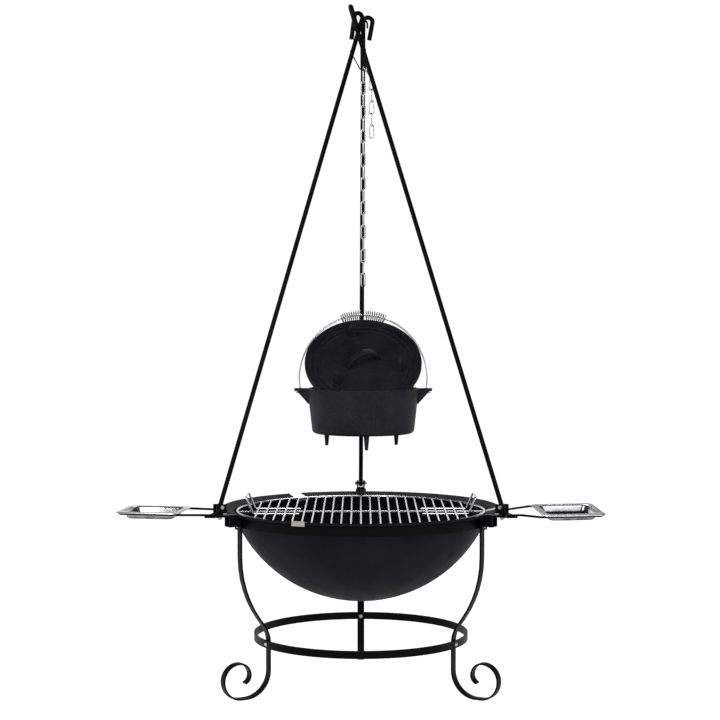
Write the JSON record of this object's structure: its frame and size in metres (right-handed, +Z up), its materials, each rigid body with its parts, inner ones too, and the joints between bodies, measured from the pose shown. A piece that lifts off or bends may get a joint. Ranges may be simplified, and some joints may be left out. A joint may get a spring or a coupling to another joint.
{
  "type": "fire pit with grate",
  "caption": "Round fire bowl on a scroll-legged stand with a lift-out cooking grate, swivelling side trays and a hanger of poles that holds a lidded pot on a chain.",
  "frame": {"origin": "on the ground, under the middle of the bounding box", "axes": "+Z up, -Y towards the front, with a tray at each end of X"},
  "size_m": [1.0276, 0.661, 1.4891],
  "materials": {
    "black_paint": "satin",
    "bowl_iron": "matte",
    "oven_iron": "rough matte",
    "chrome_wire": "bright",
    "chain_steel": "bright zinc",
    "zinc_bolts": "zinc plated",
    "clip_steel": "galvanised",
    "tray_steel": "polished"
  },
  "bodies": {
    "stand": {"leg_left": "black_paint", "leg_right": "black_paint", "leg_rear": "black_paint", "top_ring": "black_paint", "bottom_ring": "black_paint", "ring_bolts": "zinc_bolts", "bracket_left": "black_paint", "bracket_right": "black_paint", "bracket_rear": "black_paint", "pole_socket_left": "black_paint", "pole_socket_right": "black_paint", "pole_socket_rear": "black_paint", "socket_bolts": "zinc_bolts", "pole_pins": "zinc_bolts", "pole_left": "black_paint", "pole_right": "black_paint", "pole_rear": "black_paint"},
    "bowl": {"fire_bowl": "bowl_iron", "grate_clips": "clip_steel"},
    "grate": {"grate_ring": "chrome_wire", "grate_bars": "chrome_wire", "grate_cross_bar": "chrome_wire", "grate_handle_left": "chrome_wire", "grate_handle_right": "chrome_wire"},
    "hook": {"top_hook": "black_paint", "hook_tail": "black_paint", "hooked_link": "chain_steel"},
    "chain_top": {"chain_upper": "chain_steel"},
    "chain_bottom": {"chain_lower": "chain_steel"},
    "spare_chain": {"chain_spare": "chain_steel"},
    "lower_hook": {"s_hook": "black_paint"},
    "bail_wire": {"bail": "chrome_wire", "bail_grip": "chrome_wire"},
    "pot": {"dutch_oven": "oven_iron"},
    "pot_lid": {"lid": "oven_iron"},
    "holder_left": {"tray_holder_left": "black_paint", "holder_plate_left": "black_paint"},
    "holder_right": {"tray_holder_right": "black_paint", "holder_plate_right": "black_paint"},
    "dish_left": {"tray_left": "tray_steel"},
    "dish_right": {"tray_right": "tray_steel"}
  },
  "joints": [
    {"name": "bowl_lift", "type": "slide", "parent": "stand", "child": "bowl", "axis": [0, 0, 1], "range_m": [0, 0.04]},
    {"name": "grate_lift", "type": "slide", "parent": "bowl", "child": "grate", "axis": [0, 0, 1], "range_m": [0, 0.04]},
    {"name": "hook_swing", "type": "hinge", "parent": "stand", "child": "hook", "pos_m": [0.005, -0.0345, 1.455], "axis": [0, 1, 0], "range_deg": [-1.5, 1.5]},
    {"name": "chain_swing", "type": "hinge", "parent": "hook", "child": "chain_top", "pos_m": [0.005, -0.0345, 1.3481], "axis": [1, 0, 0], "range_deg": [-3, 3]},
    {"name": "chain_bend", "type": "hinge", "parent": "chain_top", "child": "chain_bottom", "pos_m": [0.005, -0.0345, 1.1141], "axis": [0, 1, 0], "range_deg": [-4, 4]},
    {"name": "spare_swing", "type": "hinge", "parent": "hook", "child": "spare_chain", "pos_m": [0.02328, -0.0345, 1.33069], "axis": [1, 0, 0], "range_deg": [-5, 5]},
    {"name": "lower_hook_swing", "type": "hinge", "parent": "chain_bottom", "child": "lower_hook", "pos_m": [0.005, -0.0345, 0.8801], "axis": [1, 0, 0], "range_deg": [-6, 6]},
    {"name": "bail_swing", "type": "hinge", "parent": "lower_hook", "child": "bail_wire", "pos_m": [0.005, -0.0345, 0.81425], "axis": [0, 1, 0], "range_deg": [-5, 5]},
    {"name": "pot_tilt", "type": "hinge", "parent": "bail_wire", "child": "pot", "pos_m": [0.005, -0.0345, 0.653], "axis": [1, 0, 0], "range_deg": [-8, 2]},
    {"name": "lid_lift", "type": "slide", "parent": "pot", "child": "pot_lid", "axis": [0, 0, 1], "range_m": [0, 0.004]},
    {"name": "swivel_left", "type": "hinge", "parent": "stand", "child": "holder_left", "pos_m": [-0.29705, -0.198, 0.399], "axis": [0, 0, 1], "range_deg": [0, 75]},
    {"name": "swivel_right", "type": "hinge", "parent": "stand", "child": "holder_right", "pos_m": [0.29705, -0.198, 0.399], "axis": [0, 0, 1], "range_deg": [-75, 0]},
    {"name": "tray_lift_left", "type": "slide", "parent": "holder_left", "child": "dish_left", "axis": [0, 0, 1], "range_m": [0, 0.05]},
    {"name": "tray_lift_right", "type": "slide", "parent": "holder_right", "child": "dish_right", "axis": [0, 0, 1], "range_m": [0, 0.05]}
  ]
}
